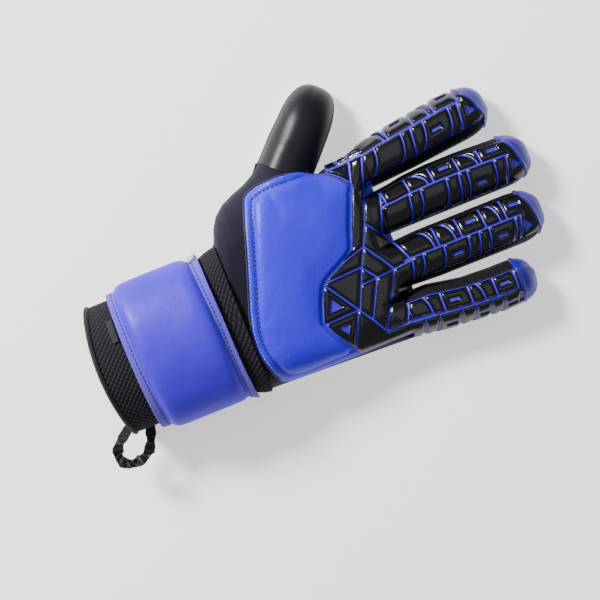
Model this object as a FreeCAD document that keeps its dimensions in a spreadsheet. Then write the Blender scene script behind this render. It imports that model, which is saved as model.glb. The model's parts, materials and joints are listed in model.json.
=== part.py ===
# A right-hand goalkeeper's glove, lying palm down. Millimetres.
# Origin: on the flat face of the palm, under the middle of the hand.
# +X runs to the fingertips, +Y to the thumb side, +Z out of the back of the hand.
import FreeCAD, Part
import os
import Sketcher

doc = FreeCAD.newDocument("KeeperGlove")
sizes = doc.addObject("Spreadsheet::Sheet", "Sizes")

DRIVING = {
    # the hand
    "knuckle_line": 57.2,
    "little_line": 49.0,
    "wrist_line": -50.0,
    "little_side": -59.5,
    "index_side": 56.0,
    "wrist_thumb_side": 30.0,
    "mound_reach": 62.5,
    "knuckle_height": 27.5,
    "back_slope": 9.5,
    "shoulder_low": 16.0,
    "palm_foam": 4.0,
    "lining": 1.0,
    "mesh_wall": 2.0,
    "flange_sheet": 1.2,
    "pad_foam": 4.2,
    "knuckle_foam": 3.6,
    "stitch_margin": 4.5,
    # every finger
    "knuckle_setback": 8.8,
    "stall_height": 27.0,
    "hinge_height": 12.5,
    "fold_half": 7.5,
    "back_wall": 3.5,
    "gusset_wall": 1.8,
    "stall_bevel": 6.0,
    "cap_length": 13.0,
    "cap_wall": 3.0,
    # each finger
    "index_centre": 43.2,
    "index_splay": 4.5,
    "index_width": 26.0,
    "index_lower": 27.0,
    "index_reach": 70.5,
    "middle_centre": 14.2,
    "middle_splay": -0.5,
    "middle_width": 28.6,
    "middle_lower": 29.0,
    "middle_reach": 82.5,
    "ring_centre": -18.2,
    "ring_splay": -0.7,
    "ring_width": 29.4,
    "ring_lower": 27.0,
    "ring_reach": 77.5,
    "little_centre": -47.4,
    "little_splay": -5.0,
    "little_width": 24.0,
    "little_lower": 23.0,
    "little_reach": 68.0,
    # the thumb
    "thumb_forward": 18.0,
    "thumb_centre": 62.5,
    "thumb_splay": 45.5,
    "thumb_width": 33.0,
    "thumb_lower": 20.0,
    "thumb_reach": 44.0,
    "thumb_fold_half": 6.0,
    "thumb_height": 30.0,
    # the cuff and its strap
    "wrist_centre": -13.0,
    "wrist_height": 25.6,
    "cuff_half_width": 38.0,
    "cuff_half_height": 23.0,
    "cuff_wall": 3.0,
    "cuff_edge": -125.0,
    "binding_width": 3.5,
    "binding_lip": 1.2,
    "band_sheet": 2.0,
    "tape_sheet": 1.0,
    "strap_sheet": 1.5,
    "strap_foam": 5.0,
    "strap_start": -109.5,
    "strap_width": 57.5,
    "strap_margin": 4.5,
    "tab_length": 4.0,
    "tab_width": 13.0,
    "tab_sheet": 0.8,
    # the pull loop
    "loop_ribbon": 5.5,
    "loop_sheet": 1.8,
    "loop_reach": 18.0,
    "loop_width": 31.0,
    "loop_height": 22.0,
    # room between pieces
    "layer_gap": 0.1,
    "piece_gap": 0.3,
}
for row, (alias, value) in enumerate(DRIVING.items(), start=1):
    sizes.set("A%d" % row, alias.replace("_", " "))
    sizes.set("B%d" % row, str(value))
    sizes.setAlias("B%d" % row, alias)
doc.recompute()

DIGITS = ("index", "middle", "ring", "little", "thumb")
BEYOND = 200.0          # longer than the glove, for blanks that are cut to an outline
parts = []


def size(expression):
    """An expression in which every driving dimension is read from the sheet."""
    words = sorted(DRIVING, key=len, reverse=True)
    for word in words:
        expression = expression.replace("<%s>" % word, "Sizes.%s" % word)
    return expression


def keep(piece, label):
    piece.Label = label
    parts.append(piece)
    return piece


def sketch_on(body, name, role, loops, start):
    """Closed outlines of straight edges, every corner bound to the sheet."""
    plane = [item for item in body.Origin.OriginFeatures if item.Role == role][0]
    sketch = body.newObject("Sketcher::SketchObject", name)
    sketch.AttachmentSupport = [(plane, "")]
    sketch.MapMode = "FlatFace"
    sketch.setExpression("AttachmentOffset.Base.z", size(start))
    for corners in loops:
        first = sketch.GeometryCount
        spots = [[float(sketch.evalExpression(size(text))) for text in corner] for corner in corners]
        count = len(corners)
        for number in range(count):
            here = FreeCAD.Vector(*spots[number], 0)
            there = FreeCAD.Vector(*spots[(number + 1) % count], 0)
            sketch.addGeometry(Part.LineSegment(here, there))
        for number in range(count):
            edge = first + number
            after = first + (number + 1) % count
            sketch.addConstraint(Sketcher.Constraint("Coincident", edge, 2, after, 1))
        for number, corner in enumerate(corners):
            for kind, text, value in zip(("DistanceX", "DistanceY"), corner, spots[number]):
                rule = Sketcher.Constraint(kind, -1, 1, first + number, 1, value)
                index = sketch.addConstraint(rule)
                sketch.setExpression("Constraints[%d]" % index, size(text))
    return sketch


def prism(name, role, loops, start, length):
    """A body padded from its outline: along +Z from XY, along +X from YZ, along -Y from XZ."""
    body = doc.addObject("PartDesign::Body", name)
    sketch = sketch_on(body, name + "_outline", role, loops, start)
    pad = body.newObject("PartDesign::Pad", name + "_pad")
    pad.Profile = sketch
    pad.setExpression("Length", size(length))
    return body


def rectangle(low_x, low_y, high_x, high_y):
    return [(low_x, low_y), (high_x, low_y), (high_x, high_y), (low_x, high_y)]


def boolean(kind, name, base, tool):
    result = doc.addObject("Part::" + kind, name)
    result.Base = base
    result.Tool = tool
    return result


def round_far_edges(body, radius):
    """Fillets the two upright edges at a prism's far end."""
    doc.recompute()
    blank = body.Tip
    far = blank.Shape.BoundBox.XMax
    names = []
    for number, edge in enumerate(blank.Shape.Edges, start=1):
        upright = abs(edge.tangentAt(edge.FirstParameter).z) > 0.99
        if upright and abs(edge.CenterOfMass.x - far) < 0.01:
            names.append("Edge%d" % number)
    fillet = body.newObject("PartDesign::Fillet", body.Name + "_round")
    fillet.Base = (blank, names)
    fillet.setExpression("Radius", size(radius))
    body.Tip = fillet


# --- the hand -----------------------------------------------------------------------------------

# The end of the hand that the thumb is sewn to: a line square to the thumb.
THUMB_BACK = "(<thumb_fold_half> + 2 * <piece_gap>)"
THUMB_TURN = "<thumb_splay> * 1 deg"


def thumb_corner(side):
    along = "<thumb_forward> - %s * cos(%s) %s <thumb_width> / 2 * sin(%s)"
    across = "<thumb_centre> - %s * sin(%s) %s <thumb_width> / 2 * cos(%s)"
    sign = ("+", "-") if side < 0 else ("-", "+")
    return (along % (THUMB_BACK, THUMB_TURN, sign[0], THUMB_TURN),
            across % (THUMB_BACK, THUMB_TURN, sign[1], THUMB_TURN))


def hand_outline(inset):
    """The hand seen from above; the inset moves its sides in and its open ends out."""
    near, far = thumb_corner(-1), thumb_corner(1)
    shift = " - (%s)" % inset
    rise = " + (%s)" % inset
    turn = {"gap": inset, "turn": THUMB_TURN}
    thumb_end = [near, far]
    if inset != "0":
        thumb_end = [
            (near[0] + " - (%(gap)s) * sin(%(turn)s)" % turn, near[1] + shift),
            (near[0] + " + (%(gap)s) * (cos(%(turn)s) - 1.5 * sin(%(turn)s))" % turn,
             near[1] + " + (%(gap)s) * (sin(%(turn)s) + 1.5 * cos(%(turn)s))" % turn),
            (far[0] + " + (%(gap)s) * (cos(%(turn)s) + sin(%(turn)s))" % turn,
             far[1] + " + (%(gap)s) * (sin(%(turn)s) - cos(%(turn)s))" % turn)]
    return [
        ("<wrist_line>" + shift, "<little_side> + 2.5" + rise),
        ("<little_line>" + rise, "<little_side>" + rise),
        ("<little_line>" + rise, "<little_centre> + <little_width> / 2 + 1.2" + rise),
        ("<knuckle_line>" + rise, "<little_centre> + <little_width> / 2 + 1.2" + rise),
        ("<knuckle_line>" + rise, "<index_side>" + shift),
        ("%s + 8" % near[0], "%s + 2.5" % near[1] + shift)] + thumb_end + [
        ("%s - 8" % far[0] + rise, "<mound_reach>" + shift),
        ("<wrist_line> + 23" + rise, "<mound_reach> - 8.5" + shift),
        ("<wrist_line> + 11" + rise, "<wrist_thumb_side> + 14" + shift),
        ("<wrist_line> + 9" + rise, "<wrist_thumb_side>" + shift),
        ("<wrist_line>" + shift, "<wrist_thumb_side>" + shift),
    ]


def under_roof(name, lift):
    """All that lies under the back of the hand, raised by the lift: a slope with two shoulders."""
    top = "<knuckle_height> + (%s) + (<knuckle_line> - (%s)) * tan(<back_slope> * 1 deg)"
    rear, front = "<wrist_line> - 20", "<knuckle_line> + 20"
    slope = prism(name + "_slope", "XZ_Plane", [[
        (rear, "<palm_foam>"), (front, "<palm_foam>"),
        (front, top % (lift, front)), (rear, top % (lift, rear))]],
        "-%g / 2" % BEYOND, "%g" % BEYOND)
    high = "<knuckle_height> + 60"
    shoulders = prism(name + "_shoulders", "YZ_Plane", [[
        ("<little_side> - 12", "<palm_foam>"), ("<thumb_centre> + 22", "<palm_foam>"),
        ("<thumb_centre> + 22", "<shoulder_low> + 1 + (%s)" % lift),
        ("<index_side> - 54", "<knuckle_height> + 34 + (%s)" % lift),
        ("<index_side> - 54", high), ("<little_side> + 42", high),
        ("<little_side> + 42", "<shoulder_low> + 64 + (%s)" % lift),
        ("<little_side> - 2 - (%s) / 2" % lift, "<shoulder_low> - 4"),
        ("<little_side> - 12", "<shoulder_low> - 4")]],
        "-%g / 2" % BEYOND, "%g" % BEYOND)
    return boolean("Common", name, slope, shoulders)


def roof_layer(label, outline, low, high):
    """A sheet that follows the back of the hand inside an outline seen from above."""
    plan = prism(label + "_plan", "XY_Plane", [outline], "0", "%g" % BEYOND)
    layer = boolean("Cut", label + "_layer", under_roof(label + "_top", high),
                    under_roof(label + "_base", low))
    return keep(boolean("Common", label, plan, layer), label)


palm = prism("PalmFoam", "XY_Plane", [hand_outline("0")], "0", "<palm_foam>")
keep(palm, "palm_foam")

mesh_outer = boolean("Common", "MeshOuter", under_roof("MeshRoof", "0"), prism(
    "MeshPlan", "XY_Plane", [hand_outline("0")], "<palm_foam>", "%g" % BEYOND))
mesh_inner = boolean("Common", "MeshInner", under_roof("MeshCeiling", "-<mesh_wall>"), prism(
    "MeshRoom", "XY_Plane", [hand_outline("<mesh_wall>")], "<palm_foam>", "%g" % BEYOND))
keep(boolean("Cut", "MeshBody", mesh_outer, mesh_inner), "mesh_body")

# The blue pad: a stitched flange, and the foam pad a stitch margin inside it.
PAD_FRONT = "<knuckle_line> - 17"


def pad_outline(inset):
    room = "(%s)" % inset
    return [
        ("<wrist_line> + 17 + " + room, "<little_side> + 4.5 + " + room),
        ("<wrist_line> + 10 + " + room, "<little_side> + 24"),
        ("<wrist_line> + 19 + " + room, "2"),
        ("<wrist_line> + 34 + " + room, "<index_side> - 4.5 - " + room),
        ("<knuckle_line> - 35", "<index_side> - 3.5 - " + room),
        (PAD_FRONT + " - " + room, "<index_side> - 14 - " + room),
        (PAD_FRONT + " - 8 - " + room, "4"),
        ("<knuckle_line> - 44 - " + room, "-8"),
        ("<knuckle_line> - 57 - " + room, "-32"),
        ("<knuckle_line> - 43 - " + room, "<little_side> + 3.5 + " + room),
    ]


FLANGE_TOP = "<layer_gap> + <flange_sheet>"
PAD_BASE = FLANGE_TOP + " + <layer_gap>"
roof_layer("pad_flange", pad_outline("0"), "<layer_gap>", FLANGE_TOP)
roof_layer("back_pad", pad_outline("<stitch_margin>"), PAD_BASE, PAD_BASE + " + <pad_foam>")

# The knuckle panel fills what the blue pad leaves, out to the finger roots.
gap = "<piece_gap>"
roof_layer("knuckle_panel", [
    ("<little_line> - " + gap, "<little_side> + 2"),
    ("<little_line> - " + gap, "<little_centre> + <little_width> / 2 + 1.2"),
    ("<knuckle_line> - " + gap, "<little_centre> + <little_width> / 2 + 1.2"),
    ("<knuckle_line> - " + gap, "<index_side> - 1.5"),
    ("<knuckle_line> - 12", "<index_side> - 3"),
    (PAD_FRONT + " + 2", "<index_side> - 13.5"),
    (PAD_FRONT + " - 7", "4"),
    ("<knuckle_line> - 43", "-9"),
    ("<knuckle_line> - 56", "-32"),
    ("<knuckle_line> - 42", "<little_side> + 3.5")],
    "<layer_gap>", "<layer_gap> + <knuckle_foam>")


# --- a finger stall -----------------------------------------------------------------------------

def root_of(digit):
    """Where a digit's root hinge stands, seen from above."""
    if digit == "thumb":
        return "<thumb_forward>", "<thumb_centre>"
    line = "<little_line>" if digit == "little" else "<knuckle_line>"
    return line + " + <knuckle_setback>", "<%s_centre>" % digit


def place_on_digit(piece, digit):
    """Turns a piece drawn along +X from the root hinge to the digit's own direction."""
    forward, centre = root_of(digit)
    piece.Placement = FreeCAD.Placement(
        FreeCAD.Vector(0, 0, 0), FreeCAD.Rotation(FreeCAD.Vector(0, 0, 1), 1))
    piece.setExpression("Placement.Base.x", size(forward))
    piece.setExpression("Placement.Base.y", size(centre))
    piece.setExpression("Placement.Rotation.Angle", size("<%s_splay> * 1 deg" % digit))
    return piece


def stall(digit):
    """One finger: two stretches of palm sheet, gusset and back, two folds and a tip cap."""
    half = "<%s_width> / 2" % digit
    joint = "<%s_lower>" % digit
    reach = "<%s_reach>" % digit
    fold = "<thumb_fold_half>" if digit == "thumb" else "<fold_half>"
    top = "<thumb_height>" if digit == "thumb" else "<stall_height>"
    seam = "<hinge_height> + <piece_gap>"
    slant = half + " * tan(abs(<%s_splay>) * 1 deg)" % digit
    root_start = "-<knuckle_setback> + <piece_gap> + " + slant
    if digit == "thumb":
        root_start = "-<thumb_fold_half> + <piece_gap>"
    inner = half + " - <gusset_wall>"
    floor = "<palm_foam> + <lining>"
    cap_start = reach + " - <cap_length>"

    def along(label, section, start, end):
        body = prism(digit + label, "YZ_Plane", section, start, "(%s) - (%s)" % (end, start))
        return place_on_digit(body, digit)

    def trough(base, bed, rim):
        return [[("-(%s)" % half, base), (half, base), (half, rim), (inner, rim), (inner, bed),
                 ("-(%s)" % inner, bed), ("-(%s)" % inner, rim), ("-(%s)" % half, rim)]]

    def arch_corners(inset):
        side = "%s - (%s)" % (half, inset)
        bevel = "<stall_bevel> - (%s) / 2" % inset
        crown = "%s - (%s)" % (top, inset)
        return [(side, "%s - (%s)" % (crown, bevel)), ("%s - (%s)" % (side, bevel), crown),
                ("-(%s - (%s))" % (side, bevel), crown), ("-(%s)" % side, "%s - (%s)" % (crown, bevel))]

    def arch():
        under = [("-(%s - <back_wall>)" % half, seam), (half + " - <back_wall>", seam)]
        return [[(half, seam)] + arch_corners("0") + [("-(%s)" % half, seam)]
                + [under[0]] + arch_corners("<back_wall>")[::-1] + [under[1]]]

    def folded(label, start, middle):
        end = "(%s) + %s - <piece_gap>" % (middle, fold)
        body = along(label, trough("<piece_gap>", "<palm_foam>", seam + " - 2 * <piece_gap>"), start, end)
        return keep(body, "%s_%s_fold" % (digit, label.lower()))

    def sheet(label, start, end, rounded):
        body = prism(digit + label, "XY_Plane",
                     [rectangle(start, "-(%s)" % half, end, half)], "0", "<palm_foam>")
        place_on_digit(body, digit)
        if rounded:
            round_far_edges(body, "<%s_width> * 0.34" % digit)
        return body

    lower_end = "%s - %s" % (joint, fold)
    tip_start = "%s + %s" % (joint, fold)
    walls = trough("<palm_foam>", floor, seam + " - 2 * <piece_gap>")
    folded("Root", root_start, "0")
    keep(sheet("LowerPalm", fold, lower_end, False), digit + "_lower_palm")
    keep(along("LowerGusset", walls, fold, lower_end), digit + "_lower_gusset")
    keep(along("LowerBack", arch(), root_start, joint + " - <piece_gap>"),
         digit + "_lower_back")
    folded("Middle", "%s - %s + <piece_gap>" % (joint, fold), joint)
    keep(sheet("TipPalm", tip_start, reach, True), digit + "_tip_palm")
    keep(along("TipGusset", walls, tip_start, cap_start), digit + "_tip_gusset")
    back = along("TipBack", arch(), joint + " + <piece_gap>", cap_start)

    section = [("-(%s)" % half, "<palm_foam>"), (half, "<palm_foam>")] + arch_corners("0")
    room = [("-(%s) + <cap_wall>" % half, floor), (half + " - <cap_wall>", floor)]
    block = along("CapSection", [section], cap_start, reach)
    rounded = prism(digit + "CapPlan", "XY_Plane",
                    [rectangle(cap_start, "-(%s)" % half, reach, half)], "0", "%g" % BEYOND)
    place_on_digit(rounded, digit)
    round_far_edges(rounded, "<%s_width> * 0.34" % digit)
    hollow = along("CapRoom", [room + arch_corners("<cap_wall>")],
                   cap_start + " - 1", reach + " - 1.4 * <cap_wall>")
    cap = boolean("Cut", digit + "Cap", boolean("Common", digit + "CapBlank", block, rounded), hollow)
    if digit == "thumb":
        keep(boolean("Fuse", "thumbTip", back, cap), "thumb_tip_back")
    else:
        keep(back, digit + "_tip_back")
        keep(cap, digit + "_cap")


for digit in DIGITS:
    stall(digit)


# --- the cuff and strap: oval sleeves round the wrist ----------------------------------------------

def oval(name, grow, start, length):
    """A solid oval bar round the wrist's middle line, grown from the outside of the cuff."""
    edge = doc.addObject("Part::Ellipse", name + "Edge")
    edge.setExpression("MajorRadius", size("<cuff_half_width> + (%s)" % grow))
    edge.setExpression("MinorRadius", size("<cuff_half_height> + (%s)" % grow))
    edge.Placement = FreeCAD.Placement(
        FreeCAD.Vector(0, 0, 0), FreeCAD.Rotation(FreeCAD.Vector(1, 1, 1), 120))
    edge.setExpression("Placement.Base.x", size(start))
    edge.setExpression("Placement.Base.y", size("<wrist_centre>"))
    edge.setExpression("Placement.Base.z", size("<wrist_height>"))
    bar = doc.addObject("Part::Extrusion", name)
    bar.Base = edge
    bar.DirMode = "Custom"
    bar.Dir = FreeCAD.Vector(1, 0, 0)
    bar.setExpression("LengthFwd", size(length))
    bar.Solid = True
    return bar


def sleeve(name, low, high, start, length):
    return boolean("Cut", name, oval(name + "Out", high, start, length),
                   oval(name + "In", low, start, length))


def part_of_sleeve(label, name, low, high, span, window):
    """The stretch of a sleeve that lies inside a window seen along the arm."""
    start, length = span
    ring = sleeve(name + "Ring", low, high, start, length)
    block = prism(name + "Window", "YZ_Plane", [window], start, length)
    return keep(boolean("Common", name, ring, block), label)


CUFF_LENGTH = "<wrist_line> - <cuff_edge>"
keep(sleeve("Cuff", "-<cuff_wall>", "0", "<cuff_edge>", CUFF_LENGTH), "cuff")
keep(sleeve("Binding", "-<cuff_wall> - <binding_lip> / 2", "<binding_lip>",
            "<cuff_edge> - <binding_width>", "<binding_width>"), "cuff_binding")

# The elastic band goes round the palm side, and the strap's tapes meet on the thumb side.
left, right = "<wrist_centre> - 90", "<wrist_centre> + 90"
level = "<wrist_height>"
STRAP_SPAN = ("<strap_start>", "<strap_width>")
PAD_SPAN = ("<strap_start> + <strap_margin>", "<strap_width> - 2 * <strap_margin>")
BAND_SPAN = ("<strap_start> + 3", "<strap_width> - 6")
part_of_sleeve("wrist_band", "WristBand", "<layer_gap>", "<layer_gap> + <band_sheet>", BAND_SPAN,
               rectangle(left, "-10", right, level + " - <piece_gap>"))

TAPE_WINDOW = rectangle("<wrist_centre> + 6", level + " + 4", right, level + " + 60")
TAPE_SPAN = ("<strap_start> + 9", "<strap_width> - 18")
LOOP_TOP = "<layer_gap> + <tape_sheet>"
HOOK_BASE = LOOP_TOP + " + <piece_gap>"
HOOK_TOP = HOOK_BASE + " + <tape_sheet>"
STRAP_BASE = HOOK_TOP + " + <layer_gap>"
STRAP_TOP = STRAP_BASE + " + <strap_sheet>"
part_of_sleeve("loop_tape", "LoopTape", "<layer_gap>", LOOP_TOP, TAPE_SPAN, TAPE_WINDOW)
part_of_sleeve("hook_tape", "HookTape", HOOK_BASE, HOOK_TOP, TAPE_SPAN, TAPE_WINDOW)
part_of_sleeve("strap_base", "StrapBase", STRAP_BASE, STRAP_TOP, STRAP_SPAN,
               rectangle(left, level + " + <piece_gap>", right, level + " + 60"))
part_of_sleeve("strap_pad", "StrapPad", STRAP_TOP + " + <layer_gap>",
               STRAP_TOP + " + <layer_gap> + <strap_foam>", PAD_SPAN,
               rectangle(left, level + " + 2 * <piece_gap>", right, level + " + 60"))

# The small woven tab sewn to the cuff beside the strap.
part_of_sleeve("size_tab", "SizeTab", "<layer_gap>", "<layer_gap> + <tab_sheet>",
               ("<strap_start> - <tab_length> - <piece_gap>", "<tab_length>"),
               rectangle("<wrist_centre> + 13", level, "<wrist_centre> + 13 + <tab_width>",
                         level + " + 60"))

# The pull loop: a ribbon ring drawn along +X, turned to point back and out of the cuff's edge.
ribbon = "<loop_ribbon>"
half_loop = "<loop_width> / 2"
loop = prism("PullLoop", "XY_Plane", [
    [("0", "-(%s) + 4" % half_loop), ("<loop_reach> - 7", "-(%s)" % half_loop),
     ("<loop_reach>", "-(%s) + 7" % half_loop), ("<loop_reach>", half_loop + " - 7"),
     ("<loop_reach> - 7", half_loop), ("0", half_loop + " - 4")],
    rectangle(ribbon, "-(%s) + %s" % (half_loop, ribbon), "<loop_reach> - " + ribbon,
              "%s - %s" % (half_loop, ribbon))],
    "0", "<loop_sheet>")
loop.Placement = FreeCAD.Placement(
    FreeCAD.Vector(0, 0, 0), FreeCAD.Rotation(FreeCAD.Vector(0, 0, 1), -92))
loop.setExpression("Placement.Base.x", size("<cuff_edge> - 0.5"))
loop.setExpression("Placement.Base.y", size(
    "<wrist_centre> - <cuff_half_width> - <binding_lip> - 3 * <piece_gap>"))
loop.setExpression("Placement.Base.z", size("<loop_height>"))
keep(loop, "pull_loop")


# --- check and write ------------------------------------------------------------------------------

doc.recompute()
for item in doc.Objects:
    if {"Invalid", "Error"} & set(item.State):
        raise RuntimeError("%s failed: %s" % (item.Label, item.State))
for piece in parts:
    if piece.Shape.isNull() or not piece.Shape.isValid():
        raise RuntimeError("%s has no valid shape" % piece.Label)

os.makedirs("parts", exist_ok=True)
for piece in parts:
    piece.Shape.exportStep("parts/%s.step" % piece.Label)
    box = piece.Shape.BoundBox
    print("%-20s %d  x %7.1f %7.1f  y %6.1f %6.1f  z %5.1f %5.1f" % (
        piece.Label, len(piece.Shape.Solids), box.XMin, box.XMax,
        box.YMin, box.YMax, box.ZMin, box.ZMax))
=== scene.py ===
import json
import math
from functools import partial
import bpy
import numpy as np
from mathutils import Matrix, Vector


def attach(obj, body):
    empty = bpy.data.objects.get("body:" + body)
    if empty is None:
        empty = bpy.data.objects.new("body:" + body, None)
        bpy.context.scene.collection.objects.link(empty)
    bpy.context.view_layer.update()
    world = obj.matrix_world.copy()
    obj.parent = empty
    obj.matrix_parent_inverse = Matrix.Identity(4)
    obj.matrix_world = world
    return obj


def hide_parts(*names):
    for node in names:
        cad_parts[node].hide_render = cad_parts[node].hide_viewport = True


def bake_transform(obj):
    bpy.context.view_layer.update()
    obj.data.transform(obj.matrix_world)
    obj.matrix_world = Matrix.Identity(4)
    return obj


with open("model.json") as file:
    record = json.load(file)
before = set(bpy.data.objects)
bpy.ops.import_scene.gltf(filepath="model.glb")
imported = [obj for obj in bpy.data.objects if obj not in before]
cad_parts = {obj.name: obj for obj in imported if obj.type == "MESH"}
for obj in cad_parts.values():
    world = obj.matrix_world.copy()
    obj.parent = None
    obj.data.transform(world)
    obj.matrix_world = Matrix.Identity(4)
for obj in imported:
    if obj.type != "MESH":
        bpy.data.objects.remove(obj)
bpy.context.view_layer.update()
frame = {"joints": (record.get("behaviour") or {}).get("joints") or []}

mm = 0.001
joints = {joint["name"]: joint for joint in frame["joints"]}


# camera, straight above the back of the hand, which points up to the right

camera = {"centre": (-6.5, -16.0), "height": 1.10, "width": 345.0, "turn": -22.0, "level": 30.0}
bpy.ops.object.camera_add(location=(camera["centre"][0] * mm, camera["centre"][1] * mm,
                                    camera["height"] + camera["level"] * mm),
                          rotation=(0, 0, math.radians(camera["turn"])))
eye = bpy.context.object
eye.data.sensor_width = 36
eye.data.lens = 36 * camera["height"] / (camera["width"] * mm)
bpy.context.scene.camera = eye
print("camera placed")


# small helpers for shapes; every length in them is in millimetres

def smooth(low, high, value):
    t = np.clip((value - low) / (high - low), 0, 1)
    return t * t * (3 - 2 * t)


def mix(a, b, share):
    return a + (b - a) * share


def shoulder(t, bulge=2.3):
    # 0 at the edge and 1 inside, with an upright start like a stuffed edge
    return (1 - (1 - np.clip(t, 0, 1)) ** bulge) ** (1 / bulge)


def ridge(away, width):
    # 1 on a line, falling softly to 0 at both sides of it
    return np.exp(-(away / width) ** 2)


def cornerCut(radius, gap):
    # how far a rounded corner draws the side in, at a gap from the end
    return radius - np.sqrt(np.clip(radius ** 2 - np.clip(radius - gap, 0, None) ** 2, 0, None))


def power(value, exponent):
    return np.sign(value) * np.abs(value) ** exponent


def along(points, value):
    xs, ys = zip(*points)
    return np.interp(value, xs, ys)


def bow(start, pull, end, steps=8):
    # a quadratic curve as a few short straight pieces
    ts = np.linspace(0, 1, steps)[:, None]
    start, pull, end = (np.array(p, float) for p in (start, pull, end))
    return [tuple(p) for p in (1 - ts) ** 2 * start + 2 * ts * (1 - ts) * pull + ts ** 2 * end]


def distanceTo(path, x, y):
    best = np.full(x.shape, 1e6)
    for (ax, ay), (bx, by) in zip(path, path[1:]):
        dx, dy = bx - ax, by - ay
        t = np.clip(((x - ax) * dx + (y - ay) * dy) / (dx * dx + dy * dy), 0, 1)
        best = np.minimum(best, np.hypot(x - ax - t * dx, y - ay - t * dy))
    return best


def ripple(x, y, size, seed, waves=7):
    # soft unevenness from a few crossed waves, the same at every run
    draw = np.random.RandomState(seed)
    total = np.zeros(np.shape(x))
    for _ in range(waves):
        angle, shift = draw.uniform(0, 2 * math.pi, 2)
        pitch = size * draw.uniform(0.6, 1.7)
        wave = (x * math.cos(angle) + y * math.sin(angle)) * 2 * math.pi / pitch
        total += np.sin(wave + shift) / waves
    return total


def lifted(surface, p, q, lift, step=0.02):
    # the surface moved along its own normal
    here = surface(p, q)
    dp = surface(p + step, q) - surface(p - step, q)
    dq = surface(p, q + step) - surface(p, q - step)
    normal = np.cross(dp, dq)
    size = np.linalg.norm(normal, axis=1, keepdims=True)
    normal = normal / np.maximum(size, 1e-9)
    normal = np.where(size < 1e-7, np.array([0.0, 0.0, 1.0]), normal)
    return here + normal * np.reshape(lift, (-1, 1))


def activate(piece):
    bpy.ops.object.select_all(action="DESELECT")
    piece.select_set(True)
    bpy.context.view_layer.objects.active = piece


def addPiece(name, data):
    piece = bpy.data.objects.new(name, data)
    bpy.context.scene.collection.objects.link(piece)
    activate(piece)
    return piece


def weld(piece, gap=0.001, fill=False, outward=True):
    # merges doubles, fills the open ends and turns every face outwards
    activate(piece)
    bpy.ops.object.mode_set(mode="EDIT")
    bpy.ops.mesh.select_all(action="SELECT")
    bpy.ops.mesh.remove_doubles(threshold=gap * mm)
    if fill:
        bpy.ops.mesh.fill_holes(sides=0)
        bpy.ops.mesh.select_all(action="SELECT")
    if outward:
        bpy.ops.mesh.normals_make_consistent(inside=False)
    bpy.ops.object.mode_set(mode="OBJECT")


def clothMap(across, lengthwise, **fields):
    # where each point lies on the flat cloth, and what else the piece keeps for its points
    return {"cloth": np.stack([across, lengthwise], axis=1), **fields}


def clothGrid(name, columns, rows, place, merge=False):
    # a flat grid drawn out to place(u, v), which gives points and named fields
    bpy.ops.object.select_all(action="DESELECT")
    bpy.ops.mesh.primitive_grid_add(x_subdivisions=columns, y_subdivisions=rows, size=2)
    piece = bpy.context.object
    piece.name = piece.data.name = name
    mesh = piece.data
    flat = np.empty(len(mesh.vertices) * 3, np.float32)
    mesh.vertices.foreach_get("co", flat)
    flat = flat.reshape(-1, 3).astype(float)
    points, fields = place((flat[:, 0] + 1) / 2, (flat[:, 1] + 1) / 2)
    mesh.vertices.foreach_set("co", (points * mm).astype(np.float32).ravel())
    for field, values in fields.items():
        if field == "cloth":
            loops = np.empty(len(mesh.loops), np.int32)
            mesh.loops.foreach_get("vertex_index", loops)
            mesh.uv_layers[0].data.foreach_set("uv", (values[loops] * 0.01).astype(np.float32).ravel())
        else:
            mark = mesh.attributes.new(field, "FLOAT", "POINT")
            mark.data.foreach_set("value", values.astype(np.float32))
    mesh.update()
    if merge:
        weld(piece, outward=False)
    return piece


def fieldOf(piece, name):
    values = np.empty(len(piece.data.vertices), np.float32)
    piece.data.attributes[name].data.foreach_get("value", values)
    return values


def applyModifier(piece, kind, **settings):
    activate(piece)
    modifier = piece.modifiers.new(kind.lower(), kind)
    for key, value in settings.items():
        setattr(modifier, key, value)
    bpy.ops.object.modifier_apply(modifier=modifier.name)
    return piece


def thicken(piece, thickness):
    return applyModifier(piece, "SOLIDIFY", thickness=thickness * mm, offset=-1)


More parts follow.
